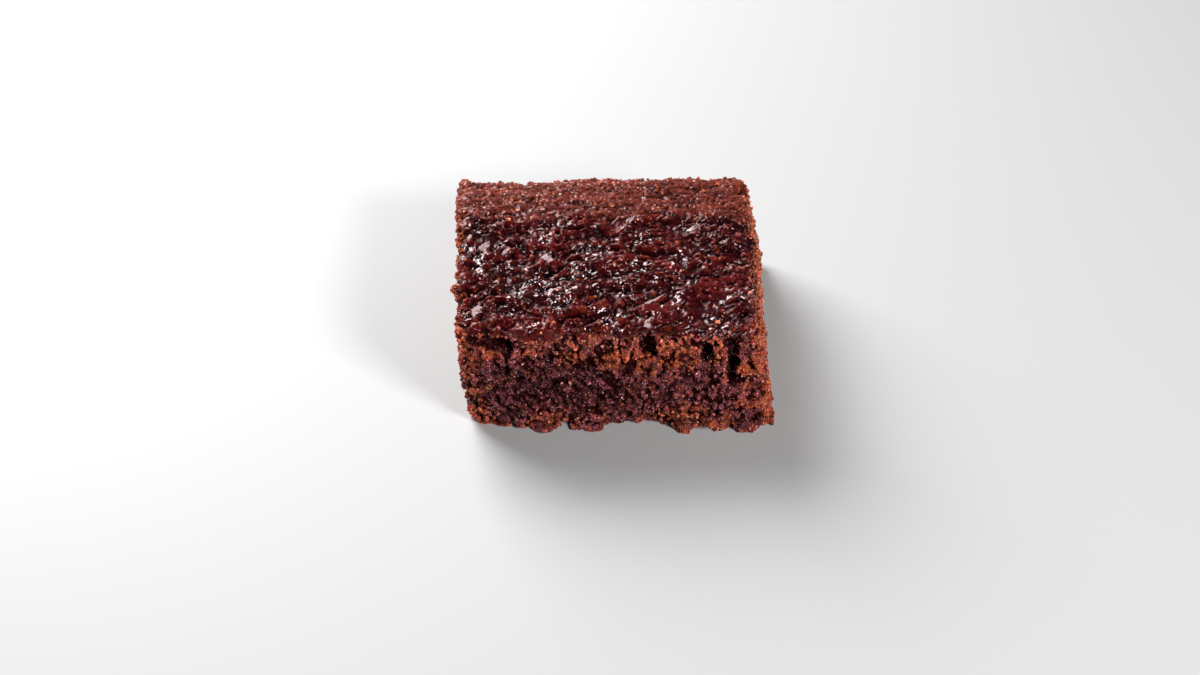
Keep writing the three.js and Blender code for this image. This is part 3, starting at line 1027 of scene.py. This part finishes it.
class Surface:
    """A material, and short ways to add shader nodes to it."""

    def __init__(self, name):
        self.material = bpy.data.materials.new(name)
        self.material.use_nodes = True
        self.nodes = self.material.node_tree.nodes
        self.nodes.clear()
        self.place = self.add("TexCoord").outputs["Object"]

    def add(self, kind, **inputs):
        """A new node, with its inputs by their names, written with _ for a space."""
        node = self.nodes.new("ShaderNode" + kind)
        for name, value in inputs.items():
            self.put(node.inputs[name.replace("_", " ")], value)
        return node

    def put(self, socket, value):
        """Sets an input to a value, or links it to another node's output."""
        if isinstance(value, bpy.types.NodeSocket):
            self.material.node_tree.links.new(value, socket)
        else:
            socket.default_value = value

    def finish(self, **inputs):
        """The material, with the inputs of its principled shader."""
        shader = self.add("BsdfPrincipled", **inputs)
        self.add("OutputMaterial", Surface=shader.outputs[0])
        return self.material

    def attribute(self, name):
        node = self.add("Attribute")
        node.attribute_name = name
        return node.outputs["Fac"]

    def mapped(self, scale):
        return self.add("Mapping", Vector=self.place, Scale=scale).outputs["Vector"]

    def noise(self, size_mm, detail=3.0, along_x=1.0, rough=0.6):
        """Noise with features of the given size, drawn out along X where along_x is under 1."""
        place = self.place if along_x == 1.0 else self.mapped((along_x, 1.0, 1.0))
        scale = 1.0 / (size_mm * MM)
        node = self.add("TexNoise", Vector=place, Scale=scale, Detail=detail, Roughness=rough)
        return node.outputs["Fac"]

    def cells(self, size_mm):
        """Three random numbers of each small cell, and the distance from its middle."""
        cell = self.add("TexVoronoi", Vector=self.place, Scale=1.0 / (size_mm * MM))
        channels = self.add("SeparateColor", Color=cell.outputs["Color"])
        return [*channels.outputs[:3], cell.outputs["Distance"]]

    def operation(self, kind, operation, a, b):
        node = self.add(kind)
        node.operation = operation
        self.put(node.inputs[0], a)
        self.put(node.inputs[1], b)
        return node.outputs

    def facets(self, size_mm):
        """Height of small flat facets, each with a tilt of its own, as a share of their size."""
        place = self.mapped((1.0 / (size_mm * MM),) * 3)
        cell = self.add("TexVoronoi", Vector=place, Scale=1.0).outputs
        offset = self.operation("VectorMath", "SUBTRACT", place, cell["Position"])["Vector"]
        tilt = self.operation("VectorMath", "SUBTRACT", cell["Color"], (0.5, 0.5, 0.5))["Vector"]
        return self.operation("VectorMath", "DOT_PRODUCT", offset, tilt)["Value"]

    def remap(self, value, low, high, to_low=0.0, to_high=1.0):
        node = self.add("MapRange", From_Min=low, From_Max=high, To_Min=to_low, To_Max=to_high)
        node.interpolation_type = "SMOOTHSTEP"
        self.put(node.inputs["Value"], value)
        return node.outputs["Result"]

    def math(self, operation, a, b):
        return self.operation("Math", operation, a, b)[0]

    def plus(self, a, b):
        return self.math("ADD", a, b)

    def times(self, a, b):
        return self.math("MULTIPLY", a, b)

    def swing(self, value, amount):
        """A 0 to 1 value turned into a swing of plus or minus half the amount."""
        return self.times(self.math("SUBTRACT", value, 0.5), amount)

    def mix(self, factor, a, b):
        """A colour between a and b, each of them a linear colour or another node's output."""
        node = self.add("Mix")
        node.data_type = "RGBA"
        for index, value in ((0, factor), (6, a), (7, b)):
            self.put(node.inputs[index], value)
        return node.outputs[2]

    def bump(self, height, distance_mm, **inputs):
        node = self.add("Bump", Height=height, Strength=1.0, Distance=distance_mm * MM, **inputs)
        return node.outputs["Normal"]


def srgb(red, green, blue):
    """Linear colour from 0 to 255 display values."""
    channels = []
    for value in (red, green, blue):
        part = value / 255
        channels.append(part / 12.92 if part <= 0.04045 else ((part + 0.055) / 1.055) ** 2.4)
    return (*channels, 1.0)


# Colours in display values; the two PAINTED_SHADE colours are what painted shade darkens towards
CRUMB_PAINTED_SHADE = srgb(34, 2, 3)
CRUMB_DARK = srgb(48, 6, 16)
CRUMB_PLUM = srgb(234, 126, 154)
CRUMB_PINK = srgb(252, 146, 136)
CRUMB_RED = srgb(202, 56, 42)
CRUMB_AMBER = srgb(255, 157, 102)
CRUST_PAINTED_SHADE = srgb(14, 1, 3)
CRUST_DARK = srgb(36, 5, 10)
CRUST_RED = srgb(85, 17, 19)
CRUST_RUST = srgb(116, 39, 24)
CRUST_DRY_DARK = srgb(44, 12, 10)
CRUST_DRY = srgb(120, 56, 46)
CRUST_DRY_ORANGE = srgb(132, 56, 33)


def crumb_colour(n, tone, hue, orange, shade):
    """Colour of crumb from its grain's tone and hue, how orange it is, and its painted shade."""
    plain = n.mix(tone, CRUMB_DARK, n.mix(hue, CRUMB_PLUM, CRUMB_PINK))
    warm = n.mix(hue, CRUMB_RED, CRUMB_AMBER)
    colour = n.mix(orange, plain, warm)
    return n.mix(shade, CRUMB_PAINTED_SHADE, colour)


def crumb_material():
    """The body of the crumb, which shows between the loose grains, painted dark as the shade between
    them.
    """
    n = Surface("crumb")
    tone, hue, chance, middle = n.cells(0.5)
    orange = n.remap(n.math("SUBTRACT", n.attribute("warm"), chance), 0.0, 0.15)
    speckle = n.swing(n.noise(0.6, 4.0), 0.9)
    # Painted shade: the crumb's shade, speckle, and darkening towards the edge of each small cell as
    # shade between grains
    shade = n.plus(n.attribute("shade"), n.plus(speckle, n.times(middle, -0.9)))
    # The body is kept dark as painted shade, with its tone lowered as well
    shade = n.remap(shade, -0.3, 0.8, 0.0, 0.55)
    colour = crumb_colour(n, n.times(tone, 0.7), hue, orange, shade)
    normal = n.bump(n.noise(0.35), 0.1, Normal=n.bump(middle, -0.22))
    return n.finish(Base_Color=colour, Normal=normal, Roughness=0.5, Specular_IOR_Level=0.03)


def grain_material():
    """The loose grains, slightly moist."""
    n = Surface("loose_grain")
    # Painted shade of the crumb, with random speckle
    shade = n.plus(n.attribute("shade"), n.swing(n.noise(0.25), 1.6))
    shade = n.remap(shade, -0.05, 0.85)
    colour = crumb_colour(n, n.attribute("tone"), n.attribute("hue"), n.attribute("orange"), shade)
    return n.finish(
        Base_Color=colour,
        Normal=n.bump(n.noise(0.25, 2.0, rough=0.5), 0.05),
        Roughness=0.22,
        Specular_IOR_Level=0.8,
        Specular_Tint=(1.0, 0.6, 0.56, 1.0),
    )


def wet_colour(n, crest, mottle):
    """Burgundy film, redder on its folds and darker between them, partly painted shade; painted shade
    nearly black in creases; and rusty lumps, partly painted warm light.
    """
    film = n.swing(n.noise(3.2, 4.0, 0.5), 2.4)
    flecks = n.swing(n.noise(0.8, 3.0, 0.7), 2.4)
    # Redder on the folds and darker between them, partly the film's own colour and partly painted shade
    height = n.plus(n.plus(n.attribute("fold"), film), flecks)
    colour = n.mix(n.remap(height, 0.3, 2.0), CRUST_DARK, CRUST_RED)
    # Rust on lump crests: partly crumb showing through, partly painted warm light on the crests
    rust = n.times(n.remap(mottle, 0.51, 0.64), n.remap(crest, -0.02, 0.16))
    colour = n.mix(rust, colour, CRUST_RUST)
    # Painted shade: nearly black in the creases
    return n.mix(n.remap(crest, -0.35, 0.05), CRUST_PAINTED_SHADE, colour)


def dry_colour(n, crest):
    """Matte brown with darker streaks, some patches of orange brown, and painted shade in its hollows.
    """
    streak = n.swing(n.noise(1.2, 3.0, 0.25), 2.0)
    smudge = n.swing(n.noise(4.0, 3.0, 0.4), 2.0)
    # The crest term paints shade into the hollows and lightens the crests
    grain = n.plus(n.swing(n.noise(0.7), 2.0), n.times(crest, 3.0))
    grain = n.plus(grain, n.plus(streak, smudge))
    colour = n.mix(n.remap(n.noise(5.0, 4.0), 0.54, 0.66), CRUST_DRY, CRUST_DRY_ORANGE)
    return n.mix(n.remap(grain, -0.5, 0.6), CRUST_DRY_DARK, colour)


def crust_colour(n, wet):
    """Colour of the film, the dry band and the torn edges, and how torn each place is."""
    crest = n.attribute("crest")
    mottle = n.noise(2.2, 4.0)
    colour = n.mix(wet, dry_colour(n, crest), wet_colour(n, crest, mottle))
    under = n.remap(n.plus(n.attribute("down"), n.swing(mottle, 2.4)), 1.2, 2.4)
    side = n.remap(n.plus(n.attribute("edge"), n.swing(mottle, 1.4)), 0.7, -0.1)
    torn = n.math("MAXIMUM", under, side)
    tone, hue, chance, _ = n.cells(0.5)
    # Painted shade on the torn crumb from its crests and hollows, with its tone and shade kept dim
    shade = n.remap(n.plus(crest, n.swing(mottle, 0.3)), -0.25, 0.15)
    orange = n.remap(chance, 0.6, 0.5)
    crumb = crumb_colour(n, n.times(tone, 0.7), hue, orange, n.times(shade, 0.75))
    return n.mix(torn, colour, crumb), torn


def crust_gloss(n, wet, torn):
    """Weight of the wet coat: patchy on the film, even on bright plates, a sparkle when dry."""
    plate = n.attribute("plate")
    patchy = n.remap(n.noise(4.2, 3.0, 0.7), 0.45, 0.59, 0.08, 1.0)
    patchy = n.times(n.times(patchy, n.attribute("shine")), n.remap(plate, 0.0, 1.0, 1.0, 0.3))
    patchy = n.math("MAXIMUM", patchy, n.times(plate, 0.3))
    wet_gloss = n.times(n.times(wet, patchy), n.remap(torn, 0.0, 1.0, 1.0, 0.3))
    sparkle = n.remap(n.noise(1.0, 3.0, 0.4), 0.5, 0.62, 0.0, 0.4)
    return n.math("MAXIMUM", wet_gloss, n.times(n.remap(wet, 1.0, 0.0), sparkle))


def crust_facets(n):
    """Normal of the crust's small facets, flatter on smooth pools and on the bright plates."""
    rough = n.remap(n.attribute("crinkled"), 0.0, 1.0, 0.5, 1.0)
    rough = n.times(rough, n.remap(n.attribute("plate"), 0.0, 1.0, 1.0, 0.7))
    coarse = n.bump(n.times(n.facets(1.6), rough), 0.64)
    return n.bump(n.times(n.facets(0.6), rough), 0.17, Normal=coarse)


def crust_material():
    """A wet clear coat over a burgundy film that has a faint red sheen of its own."""
    n = Surface("crust")
    drift = n.swing(n.noise(3.2, 4.0, 0.4), 1.4)
    wet = n.remap(n.plus(n.attribute("wet"), drift), 0.15, 0.85)
    colour, torn = crust_colour(n, wet)
    normal = crust_facets(n)
    return n.finish(
        Base_Color=colour,
        Normal=normal,
        Roughness=0.35,
        Specular_IOR_Level=0.2,
        Specular_Tint=(1.0, 0.15, 0.14, 1.0),
        Coat_Weight=crust_gloss(n, wet, torn),
        Coat_Normal=normal,
        Coat_Roughness=0.075,
        Coat_IOR=1.75,
        Coat_Tint=(1.0, 0.9, 0.9, 1.0),
    )


# Assembly, floor, lights and camera

def dress(obj, material):
    obj.data.materials.append(material)
    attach(obj, "root")
    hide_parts(NODE)


def make_floor():
    bpy.ops.mesh.primitive_plane_add(size=FLOOR_SIZE, location=(0, 0, 0))
    floor = bpy.context.object
    floor.name = "floor"
    pale = Surface("pale_floor").finish(Base_Color=FLOOR_COLOUR, Roughness=FLOOR_ROUGHNESS)
    floor.data.materials.append(pale)


def put_down(name, data, place_mm):
    """An object for a light or a camera, at a place in mm."""
    obj = bpy.data.objects.new(name, data)
    obj.location = Vector(place_mm) * MM
    bpy.context.scene.collection.objects.link(obj)
    return obj


def area_light(name, place_mm, size, power):
    light = bpy.data.lights.new(name, "AREA")
    light.shape = "SQUARE"
    light.size = size
    light.energy = power
    obj = put_down(name, light, place_mm)
    obj.rotation_euler = (Vector(LIT_POINT) - obj.location).to_track_quat("-Z", "Y").to_euler()


def make_lights():
    area_light("key", KEY_PLACE_MM, KEY_SIZE, KEY_POWER)
    area_light("fill", FILL_PLACE_MM, FILL_SIZE, FILL_POWER)
    world = bpy.data.worlds.new("studio")
    world.use_nodes = True
    background = world.node_tree.nodes["Background"]
    background.inputs["Color"].default_value = (1.0, 1.0, 1.0, 1.0)
    background.inputs["Strength"].default_value = ROOM_GLOW
    bpy.context.scene.world = world


def make_camera():
    camera = bpy.data.cameras.new("camera")
    camera.sensor_width = SENSOR_MM
    camera.lens = FOCAL_PX / IMAGE_WIDTH * SENSOR_MM
    camera.clip_start = CLIP_START
    obj = put_down("camera", camera, CAMERA_PLACE_MM)
    obj.rotation_euler = (math.radians(90 - CAMERA_DOWN_DEG), 0, 0)
    bpy.context.scene.camera = obj


make_camera()
make_floor()
make_lights()
bpy.context.scene.view_settings.view_transform = "Standard"
crumb_object, crumb = crumb_piece()
crust_object, crust = crust_piece()
grains = []
for name, form, count, radii, number in GRAIN_KINDS:
    grains.append(crumb_grains(name, crumb, form(), count, radii, SEED + number))
grains.append(crust_grains("crust_crumbs", crust, CRUST_CRUMBS, SEED + 32))
dress(crumb_object, crumb_material())
dress(crust_object, crust_material())
loose_grain = grain_material()
for piece in grains:
    dress(piece, loose_grain)
